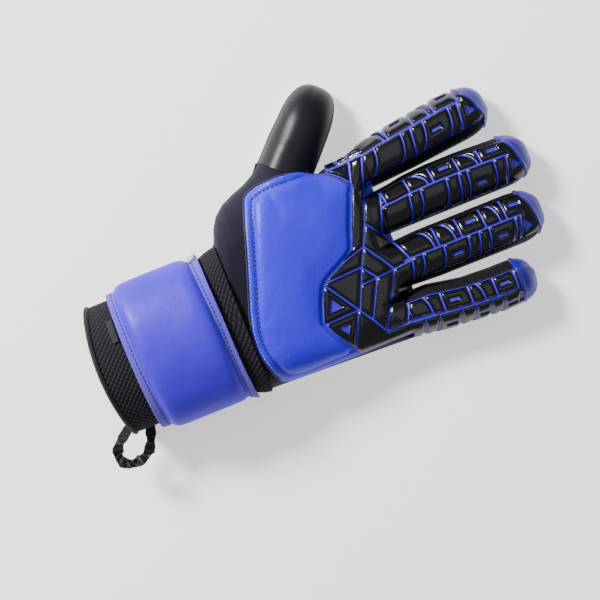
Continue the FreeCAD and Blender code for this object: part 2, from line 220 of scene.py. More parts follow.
def swell(piece, pressure, limit, levels=2, frames=20):
    # held along its seams and pressed out from below by its foam, then rounded by subdivision
    seam = fieldOf(piece, "seam")
    activate(piece)
    start = np.array([v.co for v in piece.data.vertices])
    held = piece.vertex_groups.new(name="seam")
    for number in np.nonzero(seam < 0.05)[0]:
        held.add([int(number)], 1.0, "REPLACE")
    cloth = piece.modifiers.new("cloth", "CLOTH")
    values = cloth.settings
    values.quality = 6
    values.mass = 0.3
    values.tension_stiffness = values.compression_stiffness = 15
    values.bending_stiffness = 2.0
    values.vertex_group_mass = "seam"
    values.use_pressure = True
    values.uniform_pressure_force = pressure
    values.effector_weights.gravity = 0
    cloth.point_cache.frame_start, cloth.point_cache.frame_end = 1, frames
    scene = bpy.context.scene
    for number in range(1, frames + 1):
        scene.frame_set(number)
    result = piece.evaluated_get(bpy.context.evaluated_depsgraph_get()).to_mesh()
    moved = np.array([v.co for v in result.vertices]) - start
    size = np.linalg.norm(moved, axis=1, keepdims=True)
    print(piece.name, "swelled by", round(float(size.max()) / mm, 2), "mm at most")
    moved *= np.minimum(1, limit * mm / np.maximum(size, 1e-9))
    piece.modifiers.remove(cloth)
    piece.data.vertices.foreach_set("co", (start + moved).astype(np.float32).ravel())
    piece.vertex_groups.remove(held)
    piece.data.update()
    scene.frame_set(1)
    loose = piece.vertex_groups.new(name="loose")
    for number, gap in enumerate(seam):
        loose.add([number], float(min(max(gap / 5, 0), 1)), "REPLACE")
    applyModifier(piece, "SMOOTH", factor=0.5, iterations=5, vertex_group="loose")
    piece.vertex_groups.remove(piece.vertex_groups["loose"])
    return applyModifier(piece, "SUBSURF", levels=levels, render_levels=levels)


def dress(piece, material, nodes=(), angle=None):
    piece.data.materials.clear()
    piece.data.materials.append(material)
    activate(piece)
    if angle is None:
        bpy.ops.object.shade_smooth()
    else:
        bpy.ops.object.shade_smooth_by_angle(angle=math.radians(angle))
    if nodes:
        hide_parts(*nodes)
    return piece


def sew(name, columns, rows, place, thickness, material, nodes=(), angle=60, body=None,
        merge=False):
    # one piece of cloth with its thickness and finish, riding on its body where it doesn't bend
    piece = clothGrid(name, columns, rows, place, merge)
    thicken(piece, thickness)
    dress(piece, material, nodes, angle)
    if body:
        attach(piece, body)
    return piece


def threadCord(name, points, radius, material):
    # a thin round cord through the points
    curve = bpy.data.curves.new(name, "CURVE")
    curve.dimensions = "3D"
    curve.bevel_depth = radius * mm
    curve.bevel_resolution = 2
    curve.use_fill_caps = True
    spline = curve.splines.new("POLY")
    spline.points.add(len(points) - 1)
    for spot, point in zip(spline.points, points):
        spot.co = (*(np.array(point) * mm), 1)
    piece = addPiece(name, curve)
    bpy.ops.object.convert(target="MESH")
    weld(piece, 0.01)  # the end caps come loose from the tube
    return dress(piece, material)


def stitchRow(name, points, material, pitch=2.7, length=2.1, radius=0.36):
    # one stitch is modelled, and laid again and again along the points
    points = np.array(points)
    gaps = np.linalg.norm(np.diff(points, axis=0), axis=1)
    reach = np.concatenate([[0], np.cumsum(gaps)])
    count = int(reach[-1] // pitch)
    bpy.ops.object.select_all(action="DESELECT")
    bpy.ops.mesh.primitive_uv_sphere_add(segments=8, ring_count=6, radius=1)
    model = bpy.context.object
    shape = np.array([v.co for v in model.data.vertices])
    faces = [tuple(p.vertices) for p in model.data.polygons]
    bpy.data.objects.remove(model)
    verts, polygons = [], []
    for number in range(count):
        middle = (number + 0.5) * pitch
        ends = [np.array([np.interp(middle + d, reach, points[:, k]) for k in range(3)])
                for d in (-length / 2, length / 2)]
        ahead = ends[1] - ends[0]
        size = np.linalg.norm(ahead)
        ahead = ahead / size
        side = np.cross(ahead, [0, 0, 1])
        side /= max(np.linalg.norm(side), 1e-6)
        up = np.cross(side, ahead)
        centre = (ends[0] + ends[1]) / 2
        start = len(verts) * len(shape)
        verts.append(centre + shape[:, :1] * radius * side + shape[:, 1:2] * radius * up
                     + shape[:, 2:] * size / 2 * ahead)
        polygons += [tuple(start + i for i in face) for face in faces]
    mesh = bpy.data.meshes.new(name)
    mesh.from_pydata([tuple(p) for p in np.concatenate(verts) * mm], [], polygons)
    piece = addPiece(name, mesh)
    weld(piece)
    return dress(piece, material)


# materials

def linear(hexCode):
    values = [int(hexCode[i:i + 2], 16) / 255 for i in (1, 3, 5)]
    return [v / 12.92 if v <= 0.04045 else ((v + 0.055) / 1.055) ** 2.4 for v in values] + [1.0]


def addNode(material, kind, inputs=None, **settings):
    tree = material.node_tree
    node = tree.nodes.new("ShaderNode" + kind)
    for key, value in settings.items():
        setattr(node, key, value)
    for key, value in (inputs or {}).items():
        if isinstance(value, bpy.types.NodeSocket):
            tree.links.new(value, node.inputs[key])
        else:
            node.inputs[key].default_value = value
    return node


def newMaterial(name):
    # gives addNode, set to work on the new material
    material = bpy.data.materials.new(name)
    material.use_nodes = True
    material.node_tree.nodes.clear()
    return partial(addNode, material)


def finishMaterial(add, colour, bump, **surface):
    sockets = {"Base Color": colour}
    sockets.update({key.replace("_", " "): value for key, value in surface.items()})
    if bump is not None:
        sockets["Normal"] = bump
    shader = add("BsdfPrincipled", sockets)
    add("OutputMaterial", {"Surface": shader.outputs[0]})
    return add.args[0]  # the material


def grainBump(add, place, pore, depth, fold, foldDepth):
    # leather grain: small cells, and wide soft folds below them; sizes in millimetres
    cells = add("TexVoronoi", {"Vector": place, "Scale": 1000 / pore}, feature="SMOOTH_F1")
    folds = add("TexNoise", {"Vector": place, "Scale": 1000 / fold, "Detail": 3.0})
    first = add("Bump", {"Height": folds.outputs[0], "Distance": foldDepth * mm, "Strength": 1.0})
    return add("Bump", {"Height": cells.outputs[0], "Distance": depth * mm, "Strength": 1.0,
                        "Normal": first.outputs[0]}).outputs[0]


def mottled(add, place, low, high, size):
    noise = add("TexNoise", {"Vector": place, "Scale": 1000 / size, "Detail": 4.0})
    return add("Mix", {"Factor": noise.outputs[0], 6: linear(low), 7: linear(high)},
               data_type="RGBA").outputs[2]


def objectPlace(add):
    return add("TexCoord").outputs["Object"]


def clothPlace(add, across, lengthwise):
    # the piece's own cloth map; one unit of it is 100 mm
    place = add("TexCoord").outputs["UV"]
    scale = (100 / across, 100 / lengthwise, 1)
    return add("Mapping", {"Vector": place, "Scale": scale}).outputs[0]


def coatedLeather(name, low, high, roughness, pore=0.9, depth=0.05, foldDepth=0.35):
    # polyurethane-coated synthetic leather, embossed with a fine grain: a soft sheen over small cells
    add = newMaterial(name)
    place = objectPlace(add)
    colour = mottled(add, place, low, high, 22)
    return finishMaterial(add, colour, grainBump(add, place, pore, depth, 9, foldDepth),
                          Roughness=roughness, Specular_IOR_Level=0.22, Coat_Weight=0.05, Coat_Roughness=0.3)


def embossedPanel(name, low, high, rib):
    # hot-pressed panel: blue leather in the channels, glossy black film on the raised ribs, with a painted
    # highlight along the ribs' edges
    add = newMaterial(name)
    place = objectPlace(add)
    mark = add("Attribute", attribute_name="rib").outputs["Fac"]
    raised = add("MapRange", {"Value": mark, "From Min": -0.12, "From Max": 0.12}).outputs[0]
    # the ribs' edges are painted a lighter purple-black as a highlight, fading towards the rib middles
    ribEdgeHighlight = add("MapRange", {"Value": mark, "From Min": 0.05, "From Max": 0.55, "To Min": 0.35,
                            "To Max": 0.0}).outputs[0]
    blue = mottled(add, place, low, high, 14)
    black = add("Mix", {"Factor": ribEdgeHighlight, 6: linear(rib), 7: linear("#120e34")}, data_type="RGBA").outputs[2]
    colour = add("Mix", {"Factor": raised, 6: blue, 7: black}, data_type="RGBA").outputs[2]
    shine = add("MapRange", {"Value": raised, "To Min": 0.44, "To Max": 0.2}).outputs[0]
    bump = grainBump(add, place, 0.8, 0.025, 3.5, 0.16)
    return finishMaterial(add, colour, bump, Roughness=shine, Specular_IOR_Level=0.5)


def knitFabric(name, low, high, wale, course, depth, roughness=0.75, sheen=0.3):
    # warp-knit stretch cloth: rows of small loops, matt with a faint halo at grazing angles
    add = newMaterial(name)
    place = clothPlace(add, wale, course)
    loops = add("TexVoronoi", {"Vector": place, "Scale": 1.0, "Randomness": 0.12})
    fuzz = add("TexNoise", {"Vector": objectPlace(add), "Scale": 900.0})
    tone = add("MapRange", {"Value": loops.outputs[0], "From Min": 0.1, "From Max": 0.6}).outputs[0]
    colour = add("Mix", {"Factor": tone, 6: linear(high), 7: linear(low)}, data_type="RGBA").outputs[2]
    first = add("Bump", {"Height": fuzz.outputs[0], "Distance": 0.05 * mm})
    bump = add("Bump", {"Height": loops.outputs[0], "Distance": depth * mm, "Normal": first.outputs[0]},
               invert=True).outputs[0]
    return finishMaterial(add, colour, bump, Roughness=roughness, Specular_IOR_Level=0.2,
                          Sheen_Weight=sheen, Sheen_Roughness=0.5)


def waffleKnit(name, low, high):
    # waffle knit: small raised cells, with painted shade in the hollows between them so that the cells stand
    # out light
    add = newMaterial(name)
    mark = add("Attribute", attribute_name="rise").outputs["Fac"]
    # the hollows, found from the cells' rise, are painted dark as shade
    hollowShade = add("MapRange", {"Value": mark, "From Min": 0.6, "From Max": 0.2}).outputs[0]
    place = clothPlace(add, 0.8, 0.8)
    loops = add("TexVoronoi", {"Vector": place, "Scale": 1.0, "Randomness": 0.2})
    tone = add("MapRange", {"Value": loops.outputs[0], "From Min": 0.1, "From Max": 0.7, "To Min": 0.0,
                            "To Max": 0.4}).outputs[0]
    shade = add("Math", {0: hollowShade, 1: tone}, operation="MAXIMUM").outputs[0]
    colour = add("Mix", {"Factor": shade, 6: linear(high), 7: linear(low)}, data_type="RGBA").outputs[2]
    bump = add("Bump", {"Height": loops.outputs[0], "Distance": 0.12 * mm}, invert=True).outputs[0]
    return finishMaterial(add, colour, bump, Roughness=0.75, Specular_IOR_Level=0.25,
                          Sheen_Weight=0.05)


def ribbedWebbing(name, low, high, rib, depth, roughness=0.6):
    # woven tape with cross ribs, drawn a little coarser than life so that they show
    add = newMaterial(name)
    place = clothPlace(add, rib, rib)
    wave = add("TexWave", {"Vector": place, "Scale": 0.32, "Distortion": 0.4, "Detail": 1.0},
               wave_type="BANDS", bands_direction="X")
    cross = add("TexWave", {"Vector": place, "Scale": 0.9, "Distortion": 0.6}, wave_type="BANDS",
                bands_direction="Y")
    colour = add("Mix", {"Factor": wave.outputs[1], 6: linear(low), 7: linear(high)},
                 data_type="RGBA").outputs[2]
    first = add("Bump", {"Height": cross.outputs[1], "Distance": depth * 0.4 * mm})
    bump = add("Bump", {"Height": wave.outputs[1], "Distance": depth * mm,
                        "Normal": first.outputs[0]}).outputs[0]
    return finishMaterial(add, colour, bump, Roughness=roughness, Specular_IOR_Level=0.3,
                          Sheen_Weight=0.04)


def foamLatex(name, low, high):
    # cast latex foam with its skin buffed off: quite matt, pale, with open pores
    add = newMaterial(name)
    place = objectPlace(add)
    pores = add("TexVoronoi", {"Vector": place, "Scale": 1000 / 0.8})
    colour = mottled(add, place, low, high, 5)
    first = add("Bump", {"Height": pores.outputs[0], "Distance": 0.10 * mm})
    broad = add("TexNoise", {"Vector": place, "Scale": 1000 / 6, "Detail": 5.0})
    bump = add("Bump", {"Height": broad.outputs[0], "Distance": 0.25 * mm,
                        "Normal": first.outputs[0]}).outputs[0]
    return finishMaterial(add, colour, bump, Roughness=0.88, Specular_IOR_Level=0.25)


def brushedNap(name, low, high, halo=0.35):
    # brushed loop cloth: short fibres standing every way, dull with a bright halo
    add = newMaterial(name)
    place = objectPlace(add)
    fibres = add("TexNoise", {"Vector": place, "Scale": 1000 / 0.5, "Detail": 6.0, "Roughness": 0.8})
    colour = add("Mix", {"Factor": fibres.outputs[0], 6: linear(low), 7: linear(high)},
                 data_type="RGBA").outputs[2]
    bump = add("Bump", {"Height": fibres.outputs[0], "Distance": 0.5 * mm}).outputs[0]
    return finishMaterial(add, colour, bump, Roughness=0.95, Specular_IOR_Level=0.2, Sheen_Weight=halo)


def spunThread(name, low, high):
    # bonded polyester thread: a tight twist, with the light it catches painted as short lighter bars
    add = newMaterial(name)
    place = objectPlace(add)
    twist = add("TexWave", {"Vector": place, "Scale": 1000 / 1.1, "Distortion": 0.5},
                bands_direction="DIAGONAL")
    # the twist's bands are painted lighter as highlights
    colour = add("Mix", {"Factor": twist.outputs[1], 6: linear(low), 7: linear(high)},
                 data_type="RGBA").outputs[2]
    bump = add("Bump", {"Height": twist.outputs[1], "Distance": 0.08 * mm}).outputs[0]
    return finishMaterial(add, colour, bump, Roughness=0.5, Sheen_Weight=0.2)


padLeather = coatedLeather("coatedLeatherPad", "#2506c8", "#3412e2", 0.42, 0.9, 0.05, 0.5)
strapLeather = coatedLeather("coatedLeatherStrap", "#3312bc", "#4320d2", 0.48)
capLeather = coatedLeather("coatedLeatherTip", "#190878", "#260f9c", 0.36, 0.7, 0.03, 0.15)
thumbLeather = coatedLeather("satinLeatherThumb", "#0d0a12", "#17131c", 0.4, 0.8, 0.035, 0.22)
embossed = embossedPanel("pressedFilmPanel", "#26109c", "#3518c2", "#040308")
meshCloth = knitFabric("warpKnitMesh", "#040308", "#1a1530", 1.2, 1.2, 0.16, 0.8, 0.05)
gussetCloth = knitFabric("stretchKnitGusset", "#040306", "#0e0c14", 0.9, 0.9, 0.08, 0.7, 0.03)
waffleCloth = waffleKnit("waffleKnitElastic", "#020203", "#1c1925")
cuffCloth = knitFabric("plainKnitCuff", "#050409", "#17151e", 0.8, 0.8, 0.10, 0.8, 0.05)
liningCloth = knitFabric("brushedKnitLining", "#101014", "#1f1f26", 0.9, 0.9, 0.06, 0.9, 0.02)
bindingCloth = ribbedWebbing("wovenEdgeBinding", "#050407", "#131118", 0.9, 0.12)
bandCloth = ribbedWebbing("elasticWebbing", "#050407", "#131118", 1.3, 0.2)
ribbonCloth = ribbedWebbing("grosgrainRibbon", "#040305", "#121015", 1.0, 0.16, 0.45)
tabCloth = ribbedWebbing("wovenTab", "#121217", "#24232b", 0.7, 0.1)
palmLatex = foamLatex("castLatexFoam", "#b9bdc4", "#d3d6db")
rawFoam = foamLatex("cutFoamEdge", "#8d8f96", "#b4b6bb")
napCloth = brushedNap("brushedNapCloth", "#3c26b4", "#6a58e0")
loopPile = brushedNap("loopPileTape", "#060608", "#1c1c22", 0.06)
hookPile = brushedNap("hookTape", "#060608", "#18181c", 0.03)
darkThread = spunThread("bondedThreadDark", "#050412", "#15123a")
paleThread = spunThread("bondedThreadPale", "#8f92d6", "#c9cbf2")
print("materials made")


# the fingers: each one an arch over a flat palm sheet, in its own frame from the knuckle hinge

fingers = {
    "index": {
        "high": [(-12, 10.6), (5, 13.4), (25, 14.9), (45, 16.2), (58, 15.8)],
        "low": [(-12, -12.8), (20, -13.1), (58, -12.3)],
        "reach": 70.2, "roundFrom": 51, "spine": 112, "panel": (58, 165),
        "cap": [(37, 63.5), (68, 64), (101, 61.2), (130, 57.5), (165, 55.5)],
        "upper": {"bars": [9.5, 26, 40.5, 55], "bows": [(-1, 7), (29, 37)],
                  "slots": [(17.8, 0.5), (48.5, 0.5)]},
        "lower": {"bars": [-10.5, 22.5, 53], "bows": [(-8, 0), (11.5, 17.5), (25, 32), (43, 48.5)],
                  "slots": [(37.5, 0.5)]},
        "triangle": 56},
    "middle": {
        "high": [(-12, 12.0), (0, 13.4), (10, 15.2), (25, 16.3), (45, 16.5), (64, 15.8)],
        "low": [(-12, -13.6), (64, -13.2)],
        "reach": 82.5, "roundFrom": 63, "spine": 96, "panel": (34, 132),
        "cap": [(49, 75), (77, 74.2), (104, 72), (137, 68)],
        "upper": {"bars": [-6, 9, 24, 40, 54], "bows": [(11, 21), (43, 52)],
                  "slots": [(32.5, 0.55), (62.5, 0.55)]},
        "lower": {"bars": [-10, 7, 38, 67], "bows": [(9, 15.5), (25, 31.5), (40, 44.5), (57, 61)],
                  "slots": [(50.5, 0.5)]},
        "triangle": 68.5},
    "ring": {
        "high": [(-12, 13.5), (5, 14.6), (60, 15.2)],
        "low": [(-12, -14.2), (10, -15.2), (60, -15.0)],
        "reach": 77.5, "roundFrom": 59, "spine": 92, "panel": (46, 139),
        "cap": [(34, 71), (85, 70), (101, 69), (136, 66)],
        "upper": {"bars": [13.5, 27.5, 42.5, 55.5], "bows": [(4, 11), (17, 24), (46, 52)],
                  "slots": [(35.5, 0.5), (62.5, 0.5)]},
        "lower": {"bars": [-5, 36.5, 62], "bows": [(-3, 3), (11, 16), (26, 31), (40, 44), (56, 60)],
                  "slots": [(22.5, 0.5), (50.5, 0.5)]},
        "triangle": 62.0},
    "little": {
        "high": [(-12, 11.2), (6, 12.9), (27, 10.8), (45, 11.4), (58, 12.6)],
        "low": [(-12, -13.2), (12, -14.4), (45, -14.0), (56, -12.6)],
        "reach": 68.2, "roundFrom": 51, "spine": 77, "panel": (17, 115),
        "cap": [(17, 57.5), (77, 57), (115, 56.5)],
        "upper": {"bars": [-8.5, 11.5, 28, 43, 55.5], "bows": [(0.5, 4.5), (32, 36)],
                  "slots": [(18.5, 0.5), (49, 0.5)]},
        "lower": {"bars": [-2, 20, 38], "bows": [(1, 8), (23, 30), (41, 47)],
                  "slots": [(14, 0.5), (34, 0.5), (51, 0.5)]},
        "triangle": 54.0},
}
stall = {"base": 3.6, "crown": [(-12, 25.6), (20, 25.4), (45, 24.6), (70, 23.8)], "square": 2.6,
         "channel": 0.62, "bead": 2.3, "rib": 1.5, "edge": 0.55, "grid": 0.48, "skin": 0.7,
         "palmHalf": 2.0, "palmSquare": 0.35, "press": 0.9, "panelLift": 0.8}


# along a digit, a is the way from its knuckle, c the way across, and b the way round from its spine

def digitFrame(digit):
    hinge = joints[digit + "_knuckle"]
    axis = hinge["axis"]
    ahead = np.array([axis[1], -axis[0]])
    return np.array(hinge["pos_m"][:2]) / mm, ahead, np.array([-ahead[1], ahead[0]])


def jointSpan(digit, name):
    # how far along the digit a hinge is
    root, ahead = digitFrame(digit)[:2]
    spot = np.array(joints[digit + "_" + name]["pos_m"][:2]) / mm
    return float((spot - root) @ ahead)


def toWorld(digit, a, c, z):
    root, ahead, side = digitFrame(digit)
    return np.stack([root[0] + a * ahead[0] + c * side[0], root[1] + a * ahead[1] + c * side[1], z], axis=1)


def toDigit(digit, x, y):
    root, ahead, side = digitFrame(digit)
    x, y = x - root[0], y - root[1]
    return x * ahead[0] + y * ahead[1], x * side[0] + y * side[1]


def section(spec, a):
    high, low = along(spec["high"], a), along(spec["low"], a)
    t = np.clip((a - spec["roundFrom"]) / (spec["reach"] - spec["roundFrom"]), 0, 1)
    narrow = (1 - t ** 2.8) ** (1 / 2.8)
    lower = (1 - t ** 2.3) ** (1 / 2.3)
    crown = along(spec.get("crown", stall["crown"]), a)
    return (high + low) / 2, (high - low) / 2 * narrow, stall["base"] + (crown - stall["base"]) * lower


def archSurface(digit, spec):
    def surface(a, turn):
        a = np.minimum(a, spec["reach"] - 1e-4)
        centre, half, crown = section(spec, a)
        angle = np.radians(turn)
        share = 2 / spec.get("square", stall["square"])
        c = centre - half * power(np.cos(angle), share)
        z = stall["base"] + (crown - stall["base"]) * power(np.sin(angle), share)
        return toWorld(digit, a, c, z)
    return surface


def archHeight(digit, spec, x, y):
    a, c = toDigit(digit, x, y)
    centre, half, crown = section(spec, np.clip(a, -12, None))
    share = spec.get("square", stall["square"])
    inside = np.clip(1 - np.abs((c - centre) / half) ** share, 0, 1) ** (1 / share)
    return stall["base"] + (crown - stall["base"]) * inside


# the pressed pattern of the knuckle panel, as channels seen from above

channelsHand = [
    [(57, 46), (44, 11), (38.5, -1), (33, -12), (29, -21), (23, -34)],
    [(49.5, 46), (45.5, 35), (40, 23), (35.5, 11), (31.5, 0)],
    [(35, 46.5), (57, 48)], [(42.5, 47), (43.5, 53)], [(49.5, 47), (50, 54)],
    [(60, 25.2), (52, 3)], [(50.3, 25), (60, 25.2)],
    [(44, 11), (51, 2), (57, -8), (62, -19)],
    [(38.5, -1), (50, -19)], [(33, -12), (39, -20)],
    [(29, -21), (39, -20.5), (50, -19.5), (62, -18.5)],
    [(38.5, -1), (25, -5), (11, -11.5)], [(9, -12.5), (33, -11.5)],
    [(9, -13), (22, -33), (28, -42), (34, -52)], [(0, -34.5), (22, -33.8)],
    [(22, -34), (13.5, -53)], [(39, -20.5), (28, -42)], [(50, -20), (34, -50)],
    [(33, -51), (50, -51), (62, -52)], [(52, -39), (47, -50)],
]
insideTriangles = [[(10, -22), (6, -29.5), (14.8, -29.2)], [(8, -39.4), (15, -39.3), (12, -44.6)]]
webPatches = [[(50.5, 26), (54.5, 34), (61, 33.5), (61, 26.5)],
              [(51.5, 1.5), (62, 0.5), (62, -4), (57, -6)]]


def insideOf(corners, x, y):
    # distance inside a convex outline, negative outside
    middle = np.mean(corners, axis=0)
    best = np.full(x.shape, 1e6)
    for (ax, ay), (bx, by) in zip(corners, corners[1:] + corners[:1]):
        normal = np.array([ay - by, bx - ax]) / math.hypot(bx - ax, by - ay)
        if (middle - (ax, ay)) @ normal < 0:
            normal = -normal
        best = np.minimum(best, (x - ax) * normal[0] + (y - ay) * normal[1])
    return best


def handPattern(x, y):
    # how far a point is inside a raised rib; negative in a channel
    rib = np.full(x.shape, 1e6)
    for path in channelsHand:
        rib = np.minimum(rib, distanceTo(path, x, y) - stall["channel"])
    for corners in insideTriangles + webPatches:
        rib = np.minimum(rib, -insideOf(corners, x, y))
    return np.where(x > 64, 1e6, rib)


def digitPattern(digit, a, b, width):
    # the same on a finger: b is the way round from the spine, width the way to the panel's edge
    spec = fingers[digit]
    rib = np.where(a < spec["triangle"] + 1.5, np.abs(b) - stall["channel"], 1e6)
    rib = np.minimum(rib, width - np.abs(b) - stall["edge"])
    for row, sign in (("upper", 1), ("lower", -1)):
        side = b * sign
        edge = float(np.max(np.where(side > 0, width, 0)))
        marks = spec[row]
        lean = 0.4 if sign > 0 else 1.5
        for bar in marks["bars"]:
            path = [(bar + lean, 0), (bar - lean, edge)]
            rib = np.minimum(rib, distanceTo(path, a, side) - stall["channel"])
        for start, end in marks["bows"]:
            path = bow((start, edge), (mix(start, end, 0.92), edge * 0.72), (end, 0))
            rib = np.minimum(rib, distanceTo(path, a, side) - stall["channel"] * 0.9)
        for spot, share in marks["slots"]:
            box = np.maximum(np.abs(a - spot) - 3.0, np.abs(side - edge * share) - 0.9)
            rib = np.minimum(rib, box)
    tip = spec["triangle"]
    rib = np.minimum(rib, -insideOf([(tip + 2.3, -3.2), (tip + 6.6, -8.0), (tip + 1.2, -9.3)], a, b))
    return rib


def roundRib(rib):
    return stall["rib"] * shoulder(rib / stall["bead"], 2.0)


# the back of the hand, as a height above the palm

hand = {"crown": 25.6, "rise": 0.168, "front": 57.0, "littleFront": 49.0, "rear": -43.5,
        "edge": 13.0, "web": 16.5, "littleRound": 21.0, "thumbRound": 32.0, "webRound": 24.0}
littleEdge = [(-60, -56.5), (-41, -57.0), (0, -58.5), (50, -60.6), (62, -61.0)]
moundEdge = [(-60, 28.5), (-44, 29.5), (-41, 33), (-38, 41), (-34, 47), (-28, 52), (-20, 55.5),
             (-12, 58.3), (-5, 62), (0, 66), (2.4, 70.1), (30, 98)]
webEdge = [(0, 40), (25.9, 47), (34, 49), (45, 50.2), (57, 54.0), (70, 55)]
thumb = {"high": [(-12, 16.4), (10, 16.2), (25, 15.6), (40, 15.0)],
         "low": [(-12, -16.6), (10, -16.2), (25, -15.6), (40, -15.0)],
         "crown": [(-12, 29.4), (5, 28.2), (20, 26.4), (40, 24.0)],
         "reach": 46.0, "roundFrom": 20, "square": 2.3}


def frontLine(y):
    return mix(hand["littleFront"], hand["front"], smooth(-36.5, -33.5, y))


def handHeight(x, y):
    crown = hand["crown"] + (hand["front"] - x) * hand["rise"] - 0.0011 * (y + 5) ** 2
    radial = mix(along(moundEdge, x), along(webEdge, x), smooth(6, 30, x))
    rounding = mix(hand["thumbRound"], hand["webRound"], smooth(0, 30, x))
    fall = shoulder((y - along(littleEdge, x)) / hand["littleRound"]) * shoulder((radial - y) / rounding)
    z = hand["edge"] + (crown - hand["edge"]) * fall
    a, c = toDigit("thumb", x, y)
    near = smooth(-34, -10, a) * smooth(-32, -16, c)
    root = archHeight("thumb", thumb, x, y)
    z = mix(z, (z + root + np.sqrt((z - root) ** 2 + 6)) / 2, near)
    arches = np.max([archHeight(digit, spec, x, y) for digit, spec in fingers.items()], axis=0)
    front = frontLine(y)
    return mix(z, np.maximum(arches, hand["web"]), smooth(front - 14, front, x))


def handSurface(x, y):
    return np.stack([x, y, handHeight(x, y)], axis=1)


def evenTurns(surface, level, start, end, count=90):
    # turns against the length of cloth round the arch
    turns = np.linspace(start, end, count)
    points = surface(np.full(count, float(level)), turns)
    return turns, np.concatenate([[0], np.cumsum(np.linalg.norm(np.diff(points, axis=0), axis=1))])


def turnAt(table, length):
    return np.interp(length, table[1], table[0])


def closePole(points, u):
    tip = u > 1 - 1e-6
    if tip.any():
        points[tip] = points[tip].mean(axis=0)
    return points


def stations(u, start, end, spec):
    # even steps along a stretch, drawn together at the round tip
    if end:
        return mix(start, end, u)
    straight = spec["roundFrom"] - start
    curved = (spec["reach"] - spec["roundFrom"]) * 1.45
    turn = straight / (straight + curved)
    t = np.clip((u - turn) / (1 - turn), 0, 1)
    rounded = (spec["reach"] - spec["roundFrom"]) * np.sin(math.pi / 2 * t) ** (2 / 2.6)
    return np.where(u < turn, start + straight * u / turn, spec["roundFrom"] + rounded)


def splitOf(digit):
    middle = jointSpan(digit, "middle")
    return middle, min(14.0, middle - 8)


def bend(piece, digit, part):
    # bakes each stretch's placement into its mesh, the lower stretch and the rest alike
    root, ahead = digitFrame(digit)[:2]

    def spot(a):
        return (*((root + a * ahead) * mm), joints[digit + "_knuckle"]["pos_m"][2])

    if part == "lower":
        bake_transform(piece)
    else:
        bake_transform(piece)


def stretches(digit, spec):
    # each stretch's name, start, end (none at the round tip) and length
    split = splitOf(digit)[1]
    return [("lower", -9, split, split + 9), ("tip", split, None, spec["reach"] - split)]


def stallSkin(digit, spec):
    # the black stretch gusset, an arch from one edge of the palm to the other
    surface = archSurface(digit, spec)
    for part, start, end, reach in stretches(digit, spec):

        def place(u, v):
            a = stations(u, start, end, spec)
            turn = v * 180
            fold = 0.16 * np.sin(a * 2.1 + 1.5 * np.sin(turn / 9)) * (np.abs(v - 0.5) > 0.28)
            points = lifted(surface, a, turn, fold)
            return points if end else closePole(points, u), clothMap(a, turn * 0.3)

        piece = sew(digit + part.title() + "Gusset", int(reach / 0.8), 84, place, stall["skin"],
                    gussetCloth, (digit + "_" + part + "_gusset",), 50, merge=True)
        bend(piece, digit, part)


def stallPalm(digit, spec):
    # palm foam under the stall, one flat strip with rounded edges
    for part, start, end, reach in stretches(digit, spec):

        def place(u, v):
            a = stations(u, start, end, spec)
            centre, half = section(spec, a)[:2]
            angle = np.radians(-v * 360)
            wide = half + 0.35 * np.clip((spec["reach"] - a) / 2, 0, 1) ** 0.5
            c = centre - wide * power(np.cos(angle), stall["palmSquare"])
            z = stall["palmHalf"] * (1 - power(np.sin(angle), stall["palmSquare"]))
            press = stall["press"] * ridge(a - splitOf(digit)[0], 1.2) * (np.sin(angle) > 0.5)
            return toWorld(digit, a, c, z + press), clothMap(a, c)

        piece = clothGrid(digit + part.title() + "Palm", int(reach / 1.0), 96, place, merge=True)
        weld(piece, 0.002, fill=True)
        folds = {"lower": "_root_fold", "tip": "_middle_fold"}
        dress(piece, palmLatex, (digit + "_" + part + "_palm", digit + folds[part]), 50)
        bend(piece, digit, part)


def stallBack(digit, spec):
    # the pressed panel over the gusset
    surface = archSurface(digit, spec)
    low, high = spec["panel"]
    up = evenTurns(surface, 20, spec["spine"], high)
    down = evenTurns(surface, 20, spec["spine"], low)
    for part, start, end, reach in stretches(digit, spec):

        def place(u, v):
            w = 2 * v - 1
            turn = np.where(w >= 0, turnAt(up, w * up[1][-1]), turnAt(down, -w * down[1][-1]))
            b = np.where(w >= 0, w * up[1][-1], w * down[1][-1])
            width = np.where(w >= 0, up[1][-1], down[1][-1])
            line = end if end else along(spec["cap"], turn) + 0.5
            a = mix(start, line, u)
            here = surface(a, turn)
            rib = np.minimum(digitPattern(digit, a, b, width), handPattern(here[:, 0], here[:, 1]))
            points = lifted(surface, a, turn, stall["panelLift"] + roundRib(rib))
            return points, clothMap(a, b, rib=rib)

        columns = int((reach if end else spec["cap"][1][1] - start) / stall["grid"])
        rows = int((up[1][-1] + down[1][-1]) / stall["grid"])
        piece = sew(digit + part.title() + "Back", columns, rows, place, stall["skin"], embossed,
                    (digit + "_" + part + "_back",), 65)
        bend(piece, digit, part)


cap = {"lift": 0.8, "overPanel": 1.15, "margin": 16, "bead": 0.55, "beadWidth": 1.0, "tuck": 1.3,
       "unevenness": 0.12, "thickness": 0.9}


